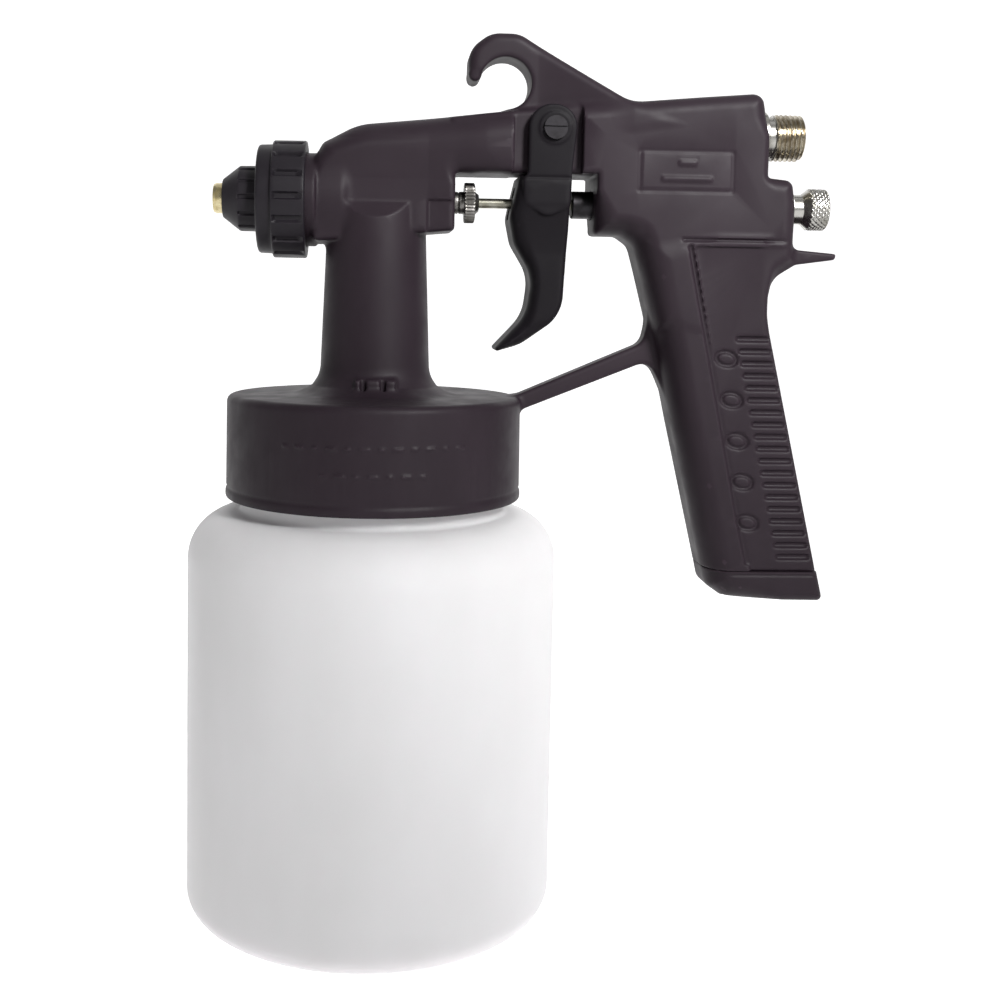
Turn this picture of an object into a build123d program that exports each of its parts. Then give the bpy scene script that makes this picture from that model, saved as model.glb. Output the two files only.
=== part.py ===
"""Hand-held paint spray gun with a screw-on cup.

The origin is the centre of the cup's base, +Z is up along the cup's axis, and the
nozzle points to -X. All lengths are in millimetres.
"""

import os
from math import cos, pi, sin

from build123d import *

os.makedirs("parts", exist_ok=True)

# ---------------------------------------------------------------- driving dimensions
CUP_R = 52.0              # outer radius of the cup
CUP_BASE_R = 50.0         # flat part of the cup's base
CUP_SHOULDER_Z = 112.0    # where the cup's shoulder meets its neck
CUP_RIM_Z = 137.5
CUP_NECK_R = 37.6
CUP_WALL = 1.8

LID_R = 41.3
LID_WALL = 3.1
LID_BOTTOM_Z = 115.3
LID_CEILING_Z = 140.3
LID_TOP_Z = 144.3

AXIS_Z = 198.3            # needle, nozzle and adjusting knob
INLET_Z = 218.3           # air inlet
PIVOT_X = 48.5            # trigger pin
PIVOT_Z = 218.4

BODY_WIDTH = 25.0         # rear block
BARREL_WIDTH = 22.6
BEAM_WIDTH = 18.0         # between the trigger's cheeks
HOOK_WIDTH = 13.0
GRIP_WIDTH = 26.0
BRACE_WIDTH = 7.0
FIN_WIDTH = 18.0
BEAM_UNDER_Z = 206.3
BARREL_FRONT_X = -17.7
BARREL_REAR_X = 21.5
BARREL_STEP_X = 37.0      # where the full-width barrel steps in to the beam
BLOCK_FRONT_X = 60.5
BLOCK_STEP_X = 58.0       # the block's front above the beam's underside
BLOCK_REAR_X = 117.5

SPIGOT_R = 12.95          # threaded nose that carries the ring nut
SPIGOT_FRONT_X = -28.3
NEEDLE_R = 1.4
SLEEVE_R = 3.85           # needle carrier
SLEEVE_FRONT_X = 54.8
SPRING_ROOM_R = 6.4
KNOB_SHANK_R = 4.25
INLET_THREAD_R = 13.157 / 2   # quarter-inch pipe thread, G 1/4
INLET_BORE_R = 3.2
PIN_R = 2.5
RUNNING_FIT = 0.08        # radial play of a shaft that turns or slides in its hole
SEATED_FIT = 0.05         # radial play of an insert in its seat
FREE_GAP = 0.3            # gap between bodies that don't touch

NECK_CUT_Z = 147.5        # the neck above it belongs to gun_body, the flare to cup_lid
GRIP_CUT_Z = 176.0        # the handle below it belongs to grip
LID_CUT_X = 43.0
CAP_TOP_Z = 96.2          # where the grip ends on its cap


# ---------------------------------------------------------------- helpers
def rod(radius, start, end, z=AXIS_Z, y=0.0):
    """Cylinder along X between two X values."""
    place = Pos(start, y, z) * Rot(0, 90, 0)
    return place * Cylinder(radius, end - start, align=(Align.CENTER, Align.CENTER, Align.MIN))


def post(radius, bottom, top, x=0.0, y=0.0):
    """Cylinder along Z between two heights."""
    return Pos(x, y, bottom) * Cylinder(radius, top - bottom, align=(Align.CENTER, Align.CENTER, Align.MIN))


def cross(radius, start, end, x, z):
    """Cylinder along Y between two Y values."""
    place = Pos(x, end, z) * Rot(90, 0, 0)
    return place * Cylinder(radius, end - start, align=(Align.CENTER, Align.CENTER, Align.MIN))


def block(x0, x1, y0, y1, z0, z1):
    """Box between opposite corners."""
    return Pos(x0, y0, z0) * Box(x1 - x0, y1 - y0, z1 - z0, align=Align.MIN)


def plate(corners, width, y=0.0):
    """Plate of an outline in the XZ plane; each corner is (x, z, rounding radius)."""
    points = [(x, z) for x, z, _ in corners]
    radii = [r for _, _, r in corners]
    edge = FilletPolyline(*points, radius=radii, close=True)
    return Pos(0, y, 0) * extrude(Plane.XZ * make_face(edge), width / 2, both=True)


def round_sides(solid, radius):
    """Round the edges round the two faces that look along Y."""
    for side in (0, -1):
        solid = fillet(solid.faces().sort_by(Axis.Y)[side].edges(), radius)
    return solid


def turned(corners, axis=Axis.Z):
    """Solid of revolution of an outline of (radius, height, rounding radius) about Z."""
    points = [(r, z) for r, z, _ in corners]
    radii = [rounding for _, _, rounding in corners]
    edge = FilletPolyline(*points, radius=radii, close=True)
    return revolve(Plane.XZ * make_face(edge), axis)


def turned_x(corners, z=AXIS_Z):
    """Solid of revolution of an outline of (x, radius, rounding radius) about the line along X at z."""
    points = [(x, z + r) for x, r, _ in corners]
    radii = [rounding for _, _, rounding in corners]
    edge = FilletPolyline(*points, radius=radii, close=True)
    line = Axis((0, 0, z), (1, 0, 0))
    return revolve(Plane.XZ * make_face(edge), line)


def knurled(solid, radius, start, end, count, depth, z=AXIS_Z):
    """Cut evenly spaced grooves along X into a round part."""
    for i in range(count):
        angle = 2 * pi * i / count
        reach = radius + depth * 0.4
        solid -= rod(depth * 1.2, start, end, z=z + reach * sin(angle), y=reach * cos(angle))
    return solid


def save(name, solid):
    """Write one node."""
    solid.label = name
    export_step(solid, f"parts/{name}.step")


# ---------------------------------------------------------------- the nylon moulding
def hook():
    """Hanging hook on top of the beam, open to the front."""
    seat_x, seat_z, seat_r = 35.2, 231.1, 7.15
    outer = [
        (24.9, 231.9, 1.2),
        (24.9, 240.0, 6.0),
        (32.0, 245.9, 6.0),
        (41.5, 245.9, 6.0),
        (74.0, 227.2, 0.0),
        (74.0, 219.0, 0.0),
        (34.8, 219.0, 0.0),
        (34.8, 231.9, 0.0),
    ]
    blank = plate(outer, HOOK_WIDTH)
    seat = cross(seat_r, -HOOK_WIDTH, HOOK_WIDTH, seat_x, seat_z)
    return blank - (seat - block(20, seat_x + seat_r, -20, 20, 215, 223.6))


def barrel():
    """Front of the moulding, which rises from the round nose into the beam."""
    side = [
        (BARREL_FRONT_X, 186.4, 2.0),
        (BARREL_FRONT_X, 209.5, 1.0),
        (-9.8, 217.6, 9.0),
        (BARREL_STEP_X, 223.8, 0.0),
        (BARREL_STEP_X, BEAM_UNDER_Z, 0.0),
        (BARREL_REAR_X, BEAM_UNDER_Z, 1.0),
        (BARREL_REAR_X, 190.1, 1.0),
    ]
    return round_sides(plate(side, BARREL_WIDTH), 6.0)


def beam():
    """Bridge over the trigger, narrow enough for the trigger's cheeks."""
    side = [
        (5.0, BEAM_UNDER_Z, 0.0),
        (5.0, 220.0, 0.0),
        (36.0, 223.6, 0.0),
        (74.0, 227.0, 0.0),
        (74.0, BEAM_UNDER_Z, 0.0),
    ]
    return plate(side, BEAM_WIDTH)


def rear_block():
    """Block behind the trigger, which holds the air inlet and the needle's spring."""
    side = [
        (BLOCK_FRONT_X, 189.7, 1.0),
        (BLOCK_FRONT_X, BEAM_UNDER_Z, 0.0),
        (BLOCK_STEP_X, BEAM_UNDER_Z, 0.0),
        (BLOCK_STEP_X, 225.4, 2.0),
        (73.5, 227.4, 4.0),
        (107.3, 229.6, 3.0),
        (109.4, 217.0, 1.0),
        (109.4, 206.3, 0.5),
        (116.4, 205.6, 1.5),
        (BLOCK_REAR_X, 198.4, 1.0),
        (117.1, 182.0, 1.0),
        (112.4, 179.0, 3.0),
        (110.4, 174.0, 2.0),
        (110.4, 171.0, 0.0),
        (77.2, 171.0, 0.0),
        (72.8, 187.2, 4.0),
        (68.0, 189.7, 3.0),
    ]
    return round_sides(plate(side, BODY_WIDTH), 1.2)


def tail_fin():
    """Thin fin over the hand, behind the grip."""
    side = [
        (110.0, 187.6, 0.0),
        (119.0, 186.5, 2.0),
        (130.2, 185.6, 0.5),
        (129.7, 183.9, 0.5),
        (118.0, 182.1, 0.0),
        (110.0, 180.4, 0.0),
    ]
    return plate(side, FIN_WIDTH)


def handle():
    """Grip, which leans back and widens towards its foot."""
    side = [
        (75.6, 180.0, 0.0),
        (84.0, 137.2, 40.0),
        (93.4, CAP_TOP_Z, 0.0),
        (126.0, CAP_TOP_Z, 0.0),
        (110.4, 169.0, 6.0),
        (110.4, 180.0, 0.0),
    ]
    solid = plate(side, GRIP_WIDTH)
    long_edges = solid.edges().filter_by(lambda e: abs((e @ 0 - e @ 1).Z) > 8)
    return fillet(long_edges, 7.0)


def brace():
    """Slanted strut from the grip to the lid."""
    side = [
        (37.0, 137.9, 0.0),
        (37.0, 142.9, 0.0),
        (75.6, 159.6, 4.5),
        (77.2, 167.0, 0.0),
        (83.0, 167.0, 0.0),
        (85.0, 146.0, 0.0),
        (81.4, 148.0, 0.0),
        (77.6, 155.3, 3.0),
    ]
    return plate(side, BRACE_WIDTH)


def neck():
    """Hollow column between the lid and the barrel, flared at its foot.

    Its top is wider than the barrel's flat sides, so each side ends in a slanted facet.
    """
    foot = Plane.XY.offset(142.0) * Ellipse(15.8, 15.6)
    top = Plane.XY.offset(198.2) * Ellipse(13.9, 13.8)
    column = loft([foot, top])
    facets = [(-17, 141), (17, 141), (17, 191.4), (12.0, 198.2), (-12.0, 198.2), (-17, 191.4)]
    column &= extrude(Plane.YZ * make_face(Polyline(*facets, close=True)), 20, both=True)
    flare = [
        (0, 143.0, 0.0),
        (20.5, 143.0, 0.0),
        (20.5, 144.5, 0.0),
        (16.6, 146.6, 3.0),
        (14.6, 153.0, 0.0),
        (0, 153.0, 0.0),
    ]
    vent_box = block(-5.5, 6.0, -18.5, -10.0, 143.0, 149.5)
    return column + turned(flare) + vent_box


def lid():
    """Round lid with a bead round its mouth."""
    outer = [
        (0, LID_BOTTOM_Z, 0.0),
        (LID_R + 0.4, LID_BOTTOM_Z, 0.8),
        (LID_R + 0.4, LID_BOTTOM_Z + 2.4, 0.4),
        (LID_R, LID_BOTTOM_Z + 3.0, 0.3),
        (LID_R - 0.5, LID_TOP_Z, 4.0),
        (0, LID_TOP_Z, 0.0),
    ]
    return turned(outer)


def air_passages():
    """Drillings that carry air from the inlet to the nose and down into the cup."""
    run_z = 210.0
    nose_z = AXIS_Z + 9.5
    long_run = rod(2.0, -8.0, 96.0, z=run_z)
    riser = post(2.6, run_z - 2.0, INLET_Z + 2.0, x=95.0)
    drop = post(2.3, nose_z - 1.0, run_z + 0.5, x=-5.5)
    nose_run = rod(1.6, SPIGOT_FRONT_X - 1.0, -6.0, z=nose_z)
    side_link = cross(1.5, -1.0, 9.6, 4.0, run_z)
    cup_run = post(1.2, LID_CEILING_Z - 1.0, run_z, x=4.0, y=8.0)
    return long_run + riser + drop + nose_run + side_link + cup_run


def needle_line():
    """Stepped bore for the nozzle, needle, gland, carrier, spring and knob."""
    nozzle_seat = rod(5.0 + SEATED_FIT, SPIGOT_FRONT_X - 1.0, -16.3)
    gallery = rod(3.0, -16.4, 7.0)
    gland = rod(3.2, 6.9, BARREL_REAR_X + 1.0)
    sleeve_bore = rod(SLEEVE_R + RUNNING_FIT, BLOCK_FRONT_X - 1.0, 70.5)
    spring_room = rod(SPRING_ROOM_R, 70.0, 107.0)
    bush_seat = rod(6.1 + SEATED_FIT, 106.9, BLOCK_REAR_X + 1.0)
    return nozzle_seat + gallery + gland + sleeve_bore + spring_room + bush_seat


def inlet_line():
    """Seat of the air inlet and its seal."""
    return rod(7.2 + SEATED_FIT, 98.4, 112.0, z=INLET_Z) + rod(INLET_BORE_R, 92.5, 99.0, z=INLET_Z)


def grip_hollow():
    """Space inside the handle, open at the foot."""
    side = [
        (77.6, 187.5, 3.0),
        (87.2, 137.2, 30.0),
        (96.8, CAP_TOP_Z - 1.0, 0.0),
        (122.2, CAP_TOP_Z - 1.0, 0.0),
        (107.0, 168.0, 6.0),
        (107.0, 187.5, 3.0),
    ]
    return plate(side, GRIP_WIDTH - 6.4)


def side_panel():
    """Shallow frame on each side of the rear block."""
    frame = block(71.8, 98.0, -20, 20, 201.7, 213.0) - block(72.7, 97.1, -21, 21, 202.6, 214.0)
    return frame - block(60, 120, -BODY_WIDTH / 2 + 0.5, BODY_WIDTH / 2 - 0.5, 190, 220)


def moulding():
    """The whole nylon moulding before it is divided into nodes."""
    solid = rear_block() + handle() + tail_fin() + beam() + hook() + barrel()
    solid += rod(12.0, BARREL_FRONT_X, -6.0)
    solid += rod(SPIGOT_R, SPIGOT_FRONT_X, BARREL_FRONT_X + 1.0)
    solid += neck() + lid() + brace()
    solid -= post(LID_R - LID_WALL, LID_BOTTOM_Z - 1.0, LID_CEILING_Z)
    solid -= post(4.75 + SEATED_FIT, LID_CEILING_Z - 1.0, 166.0)
    solid -= post(3.5, 165.9, AXIS_Z)
    solid -= needle_line() + inlet_line()
    solid -= air_passages()
    solid -= cross(PIN_R + SEATED_FIT, -20, 20, PIVOT_X, PIVOT_Z)
    solid -= grip_hollow() + side_panel()
    for x in (-3.4, 1.4):
        solid -= block(x, x + 1.6, -20.0, -17.3, 144.9, 148.6)
    return solid


def divided(solid):
    """Cut the moulding at flat faces into body, lid, brace and handle."""
    brace_outline = [
        (LID_CUT_X, 130.0, 0.0),
        (LID_CUT_X, GRIP_CUT_Z, 0.0),
        (74.0, GRIP_CUT_Z, 0.0),
        (84.4, 130.0, 0.0),
    ]
    brace_room = plate(brace_outline, 60.0)
    lid_room = block(-60, LID_CUT_X, -60, 60, 100, NECK_CUT_Z)
    low_rear = block(LID_CUT_X, 140, -60, 60, 80, GRIP_CUT_Z)
    return {
        "gun_body": solid - lid_room - low_rear,
        "cup_lid": solid & lid_room,
        "brace": solid & brace_room,
        "grip": (solid & low_rear) - brace_room,
    }


def grip_ribs(solid):
    """Fine ledges across the back half of both sides of the handle."""
    count = 19
    for i in range(count):
        z = 161.0 - i * 3.4
        x0 = 102.6 + i * 0.74
        for side in (-1, 1):
            y = side * (GRIP_WIDTH / 2 + 0.3)
            y_low, y_high = sorted((y, y - side * 0.8))
            solid -= block(x0, x0 + 6.0, y_low, y_high, z, z + 1.0)
    return solid


def grip_cap():
    """Flared foot that plugs the handle."""
    side = [
        (93.3, CAP_TOP_Z, 0.0),
        (95.2, 87.6, 3.0),
        (128.2, 87.6, 1.5),
        (126.1, CAP_TOP_Z, 0.0),
    ]
    foot = plate(side, GRIP_WIDTH + 0.6)
    foot = fillet(foot.edges().filter_by(lambda e: abs((e @ 0 - e @ 1).Z) > 5), 6.0)
    plug = [
        (97.2, CAP_TOP_Z + 5.0, 1.0),
        (97.6, CAP_TOP_Z - 0.5, 0.0),
        (121.4, CAP_TOP_Z - 0.5, 0.0),
        (120.3, CAP_TOP_Z + 5.0, 1.0),
    ]
    spigot = plate(plug, GRIP_WIDTH - 7.0) - block(100.0, 117.5, -7.5, 7.5, 91.0, 110.0)
    return foot - block(100.0, 118.5, -8.0, 8.0, 90.6, CAP_TOP_Z + 1) + spigot


# ---------------------------------------------------------------- nose
def ring_nut():
    """Ribbed nut with an inner lip that holds the air cap."""
    inner_r = SPIGOT_R + 0.35
    outline = [
        (-32.9, 9.5, 0.0),
        (-32.9, 15.0, 1.0),
        (-28.7, 15.2, 0.0),
        (-28.7, 16.3, 0.4),
        (-19.5, 16.3, 0.4),
        (-19.5, inner_r, 0.0),
        (-30.9, inner_r, 0.0),
        (-30.9, 9.5, 0.0),
    ]
    return knurled(turned_x(outline), 16.3, -29.5, -21.4, 22, 0.9)


def air_cap():
    """Cone round the nozzle, with a flange under the ring nut."""
    outline = [
        (-42.8, 4.75, 0.0),
        (-42.8, 5.3, 0.2),
        (-38.0, 9.0, 0.6),
        (-32.6, 9.15, 0.0),
        (-30.6, 9.15, 0.0),
        (-30.6, 12.8, 0.3),
        (-28.6, 12.8, 0.0),
        (-28.6, 11.4, 0.0),
        (-29.6, 11.4, 0.0),
        (-29.6, 7.3, 0.0),
        (-37.0, 7.3, 0.0),
        (-40.2, 4.75, 0.0),
    ]
    return knurled(turned_x(outline), 9.1, -37.4, -33.2, 12, 0.45)


def fluid_nozzle():
    """Brass nozzle: threaded shank, flange, long tip."""
    outline = [
        (-45.4, 1.0, 0.0),
        (-45.4, 3.9, 0.3),
        (-44.6, 4.25, 0.2),
        (-31.0, 4.25, 0.3),
        (-31.0, 6.6, 0.3),
        (-29.1, 6.6, 0.0),
        (-29.1, 5.0, 0.0),
        (-16.4, 5.0, 0.4),
        (-16.4, 2.1, 0.0),
        (-41.5, 2.1, 0.0),
        (-43.8, 1.0, 0.0),
    ]
    return turned_x(outline)


def nozzle_gasket():
    """Washer between nozzle and nose."""
    return rod(6.5, -29.05, SPIGOT_FRONT_X - 0.02) - rod(5.1, -30, -28)


def needle():
    """Paint needle with its cone in the nozzle."""
    outline = [
        (-45.0, 0.0, 0.0),
        (-45.0, 0.45, 0.0),
        (-41.2, NEEDLE_R, 0.0),
        (84.0, NEEDLE_R, 0.3),
        (84.0, 0.0, 0.0),
    ]
    return turned_x(outline)


def packing_nut():
    """Gland nut with a knurled flange."""
    outline = [
        (12.6, 1.55, 0.0),
        (12.6, 3.15, 0.2),
        (24.5, 3.15, 0.0),
        (24.5, 5.65, 0.3),
        (27.4, 5.65, 0.3),
        (27.4, 3.2, 0.0),
        (28.6, 2.4, 0.0),
        (28.6, 1.55, 0.0),
    ]
    return knurled(turned_x(outline), 5.65, 24.3, 27.6, 18, 0.4)


def needle_packing():
    """Gland ring round the needle."""
    return rod(3.15, 7.2, 12.5) - rod(NEEDLE_R + RUNNING_FIT, 6, 13)


# ---------------------------------------------------------------- trigger
def trigger():
    """Finger lever with two cheeks on the beam's sides."""
    finger = [
        (39.4, 205.7, 0.0),
        (36.6, 194.0, 4.0),
        (38.0, 187.0, 6.0),
        (43.6, 178.0, 9.0),
        (42.0, 167.0, 12.0),
        (32.6, 156.6, 1.3),
        (41.5, 158.6, 10.0),
        (53.4, 166.0, 12.0),
        (54.5, 190.0, 20.0),
        (54.5, 204.3, 0.0),
    ]
    lever = round_sides(plate(finger, BEAM_WIDTH + 1.0), 1.2)
    cheek_inner = BEAM_WIDTH / 2 + FREE_GAP
    cheek_side = [
        (41.9, 224.9, 6.5),
        (55.3, 224.9, 6.5),
        (55.3, 196.0, 3.0),
        (46.0, 192.0, 2.0),
        (40.0, 196.0, 2.0),
        (40.0, 205.0, 0.5),
        (41.9, 206.0, 0.5),
    ]
    for side in (-1, 1):
        lever += plate(cheek_side, 2.9, y=side * (cheek_inner + 1.45))
    lever -= cross(PIN_R + RUNNING_FIT, -20, 20, PIVOT_X, PIVOT_Z)
    return lever - block(30.0, 62.0, -2.1, 2.1, AXIS_Z - 4.6, AXIS_Z + 4.6)


def trigger_pin():
    """Hinge pin with a slotted round head."""
    head_start = -BEAM_WIDTH / 2 - FREE_GAP - 2.9 - 0.25
    shank = cross(PIN_R, head_start, 14.0, PIVOT_X, PIVOT_Z)
    head = cross(3.2, head_start - 1.1, head_start, PIVOT_X, PIVOT_Z)
    slot = block(PIVOT_X - 4, PIVOT_X + 4, head_start - 2, head_start - 0.6, PIVOT_Z - 0.4, PIVOT_Z + 0.4)
    groove = cross(PIN_R + 1, 12.6, 13.3, PIVOT_X, PIVOT_Z) - cross(2.0, 12, 14, PIVOT_X, PIVOT_Z)
    return shank + head - slot - groove


def pin_clip():
    """Open spring clip in the pin's groove."""
    ring = cross(4.2, 12.65, 13.25, PIVOT_X, PIVOT_Z) - cross(2.05, 12, 14, PIVOT_X, PIVOT_Z)
    return ring - block(PIVOT_X - 1.6, PIVOT_X + 1.6, 12, 14, PIVOT_Z - 6, PIVOT_Z)


# ---------------------------------------------------------------- needle carriage
def needle_carrier():
    """Sleeve that the trigger pushes, with a flange for the spring."""
    outline = [
        (SLEEVE_FRONT_X, NEEDLE_R + SEATED_FIT, 0.0),
        (SLEEVE_FRONT_X, SLEEVE_R, 0.4),
        (76.0, SLEEVE_R, 0.0),
        (76.0, 5.6, 0.3),
        (78.0, 5.6, 0.3),
        (78.0, NEEDLE_R + SEATED_FIT, 0.0),
    ]
    return turned_x(outline)


def needle_lock_nut():
    """Hexagon nut on the needle behind the carrier."""
    blank = extrude(Plane.YZ.offset(78.05) * Pos(0, AXIS_Z) * RegularPolygon(3.1, 6), 3.0)
    return blank - rod(NEEDLE_R + SEATED_FIT, 77, 83)


def needle_spring():
    """Compression spring between the carrier and the thrust washer."""
    wire_r = 0.45
    coil_r = 4.7
    start = 78.1 + wire_r
    length = 92.9 - wire_r - start
    path = Pos(start, 0, AXIS_Z) * Rot(0, 90, 0) * Helix(pitch=length / 6, height=length, radius=coil_r)
    section = Plane(path @ 0, z_dir=path % 0) * Circle(wire_r)
    return sweep(section, path, is_frenet=True)


def thrust_washer():
    """Washer between the spring and the knob's shank."""
    return rod(5.8, 93.0, 94.2) - rod(1.6, 92, 95)


def adjusting_knob():
    """Knurled paint screw with a long threaded shank."""
    outline = [
        (94.5, 0.0, 0),
        (94.5, KNOB_SHANK_R, 0.4),
        (121.9, KNOB_SHANK_R, 0.0),
        (123.9, 5.7, 0.0),
        (124.3, 5.9, 0.0),
        (129.0, 5.9, 0.4),
        (129.3, 5.0, 0.0),
        (129.3, 0.0, 0.0),
    ]
    return knurled(turned_x(outline), 5.9, 124.2, 129.4, 24, 0.3)


def knob_bush():
    """Threaded brass insert for the knob."""
    return rod(6.1, 107.1, BLOCK_REAR_X - 0.2) - rod(KNOB_SHANK_R + RUNNING_FIT, 106, 120)


def air_inlet():
    """Hose nipple; the plain end has the outside diameter of its pipe thread."""
    neck_r = 5.75
    outline = [
        (99.9, INLET_BORE_R, 0.0),
        (99.9, 7.2, 0.3),
        (109.2, 7.2, 0.3),
        (109.2, neck_r, 0.0),
        (113.1, neck_r, 0.0),
        (113.1, INLET_THREAD_R, 0.0),
        (120.9, INLET_THREAD_R, 0.0),
        (121.7, INLET_THREAD_R - 0.8, 0.0),
        (121.7, INLET_BORE_R + 0.6, 0.2),
        (121.1, INLET_BORE_R, 0.0),
    ]
    return turned_x(outline, z=INLET_Z)


def inlet_seal():
    """Seal ring behind the nipple."""
    return rod(7.15, 98.5, 99.85, z=INLET_Z) - rod(4.0, 98, 101, z=INLET_Z)


# ---------------------------------------------------------------- cup
def cup():
    """Blow-moulded bottle with a flat base, round shoulder and straight neck."""
    neck_in = CUP_NECK_R - CUP_WALL - 0.4
    outline = [
        (0, 0, 0),
        (CUP_BASE_R + 0.4, 0, 1.5),
        (CUP_R, 6.0, 6.0),
        (CUP_R, CUP_SHOULDER_Z, 13.0),
        (CUP_NECK_R, CUP_SHOULDER_Z, 1.2),
        (CUP_NECK_R, CUP_RIM_Z, 0.5),
        (neck_in, CUP_RIM_Z, 0.5),
        (neck_in, CUP_SHOULDER_Z - CUP_WALL, 1.0),
        (CUP_R - CUP_WALL, CUP_SHOULDER_Z - CUP_WALL, 11.2),
        (CUP_R - CUP_WALL, 6.0, 5.0),
        (CUP_BASE_R - CUP_WALL, CUP_WALL + 0.4, 1.5),
        (0, CUP_WALL + 0.4, 0),
    ]
    return turned(outline)


def cup_gasket():
    """Flat ring on the cup's rim."""
    return post(37.4, 137.8, 139.9) - post(33.0, 137, 141)


def fluid_tube():
    """Dip tube, cut at a slant at the bottom."""
    tube = post(4.75, 6.0, 165.9) - post(3.6, 5.0, 167.0)
    below = Box(30, 30, 6.0, align=(Align.CENTER, Align.CENTER, Align.MAX))
    return tube - Pos(0, 0, 6.0) * Rot(0, 30, 0) * below


def tube_collar():
    """Collar that holds the dip tube against the lid."""
    return post(8.0, 133.0, LID_CEILING_Z - 0.02) - post(4.75 + SEATED_FIT, 132.0, 141.0)


pieces = divided(moulding())
pieces["grip"] = grip_ribs(pieces["grip"])
for make in (
    grip_cap, ring_nut, air_cap, fluid_nozzle, nozzle_gasket, needle, packing_nut, needle_packing,
    trigger, trigger_pin, pin_clip, needle_carrier, needle_lock_nut, needle_spring, thrust_washer,
    adjusting_knob, knob_bush, air_inlet, inlet_seal, cup, cup_gasket, fluid_tube, tube_collar,
):
    pieces[make.__name__] = make()

for name, solid in pieces.items():
    save(name, solid)
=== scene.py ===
"""Looks for the cup spray gun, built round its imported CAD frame.

Lengths are millimetres until a mesh is made, which turns them into metres.
"""

import math

import bmesh
import bpy
import numpy as np
from mathutils import Matrix, Vector


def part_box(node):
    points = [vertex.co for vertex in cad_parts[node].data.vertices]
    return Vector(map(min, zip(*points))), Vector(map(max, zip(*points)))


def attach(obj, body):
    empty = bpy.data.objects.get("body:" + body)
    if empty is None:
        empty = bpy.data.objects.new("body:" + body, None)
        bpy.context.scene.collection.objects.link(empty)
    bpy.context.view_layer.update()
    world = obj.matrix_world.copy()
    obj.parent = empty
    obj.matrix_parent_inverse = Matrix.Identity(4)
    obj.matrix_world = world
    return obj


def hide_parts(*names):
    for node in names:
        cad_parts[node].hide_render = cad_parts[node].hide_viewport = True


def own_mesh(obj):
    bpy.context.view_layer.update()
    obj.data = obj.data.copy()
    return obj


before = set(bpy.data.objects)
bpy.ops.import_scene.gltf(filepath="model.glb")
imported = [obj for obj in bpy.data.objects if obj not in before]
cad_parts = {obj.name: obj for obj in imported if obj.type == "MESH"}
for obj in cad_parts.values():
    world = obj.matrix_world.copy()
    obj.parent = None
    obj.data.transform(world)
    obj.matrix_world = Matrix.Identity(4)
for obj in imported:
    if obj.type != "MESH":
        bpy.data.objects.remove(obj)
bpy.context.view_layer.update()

MM = 0.001
TURN = 2 * math.pi
VOXEL = 0.5      # grid step of the moulded shapes


def node_box(name):
    """Corners of a CAD node in millimetres."""
    low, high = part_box(name)
    return [v / MM for v in low], [v / MM for v in high]


NEEDLE_LOW, NEEDLE_HIGH = node_box("needle")
AXIS_Z = (NEEDLE_LOW[2] + NEEDLE_HIGH[2]) / 2      # needle, nozzle and paint screw
INLET_LOW, INLET_HIGH = node_box("air_inlet")
INLET_Z = (INLET_LOW[2] + INLET_HIGH[2]) / 2
PIN_LOW, PIN_HIGH = node_box("trigger_pin")
PIVOT_X = (PIN_LOW[0] + PIN_HIGH[0]) / 2
PIVOT_Z = (PIN_LOW[2] + PIN_HIGH[2]) / 2
CUP_HIGH = node_box("cup")[1]
CUP_R = CUP_HIGH[0]
CUP_RIM_Z = CUP_HIGH[2]
LID_LOW = node_box("cup_lid")[0]
LID_R = -LID_LOW[0] - 0.4
LID_BOTTOM_Z = LID_LOW[2]

LID_TOP_Z = 144.3
LID_CEILING_Z = 140.3
LID_BORE_R = 38.2
BARREL_FRONT_X, BARREL_REAR_X = -17.7, 37.2
SPIGOT_FRONT_X = -28.3
SPIGOT_R = 12.95
BLOCK_FRONT_X = 60.5
BLOCK_ROOT_X = 56.3      # its start under the hook
BODY_HALF = 12.5
BEAM_HALF = 9.0
GRIP_HALF = 13.0
PANEL_HALF = GRIP_HALF - 0.75      # the grip's sunk rear panel
CHEEK_HALF = 12.2      # outer face of the trigger's cheeks
CHEEK_THICK = 2.9
NECK_TOP_Z = 198.2
FOOT_TOP_Z = 96.2


# ------------------------------------------------------------------ outlines and distances
def outline(corners, step=0.35):
    """Points of a closed outline; each corner is (u, v, rounding radius)."""
    points = []
    count = len(corners)
    for i, (u, v, radius) in enumerate(corners):
        here = np.array((u, v), float)
        before = np.array(corners[i - 1][:2], float) - here
        after = np.array(corners[(i + 1) % count][:2], float) - here
        if radius <= 0:
            points.append(tuple(here))
            continue
        a = before / np.linalg.norm(before)
        b = after / np.linalg.norm(after)
        turn = math.acos(float(np.clip(a @ b, -1, 1)))
        reach = radius / math.tan(turn / 2)
        centre = here + (a + b) / np.linalg.norm(a + b) * radius / math.sin(turn / 2)
        start = here + a * reach - centre
        end = here + b * reach - centre
        first = math.atan2(start[1], start[0])
        sweep = (math.atan2(end[1], end[0]) - first + math.pi) % TURN - math.pi
        parts = max(2, int(abs(sweep) * radius / step) + 1)
        for k in range(parts + 1):
            angle = first + sweep * k / parts
            points.append(tuple(centre + radius * np.array((math.cos(angle), math.sin(angle)))))
    return points


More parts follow.
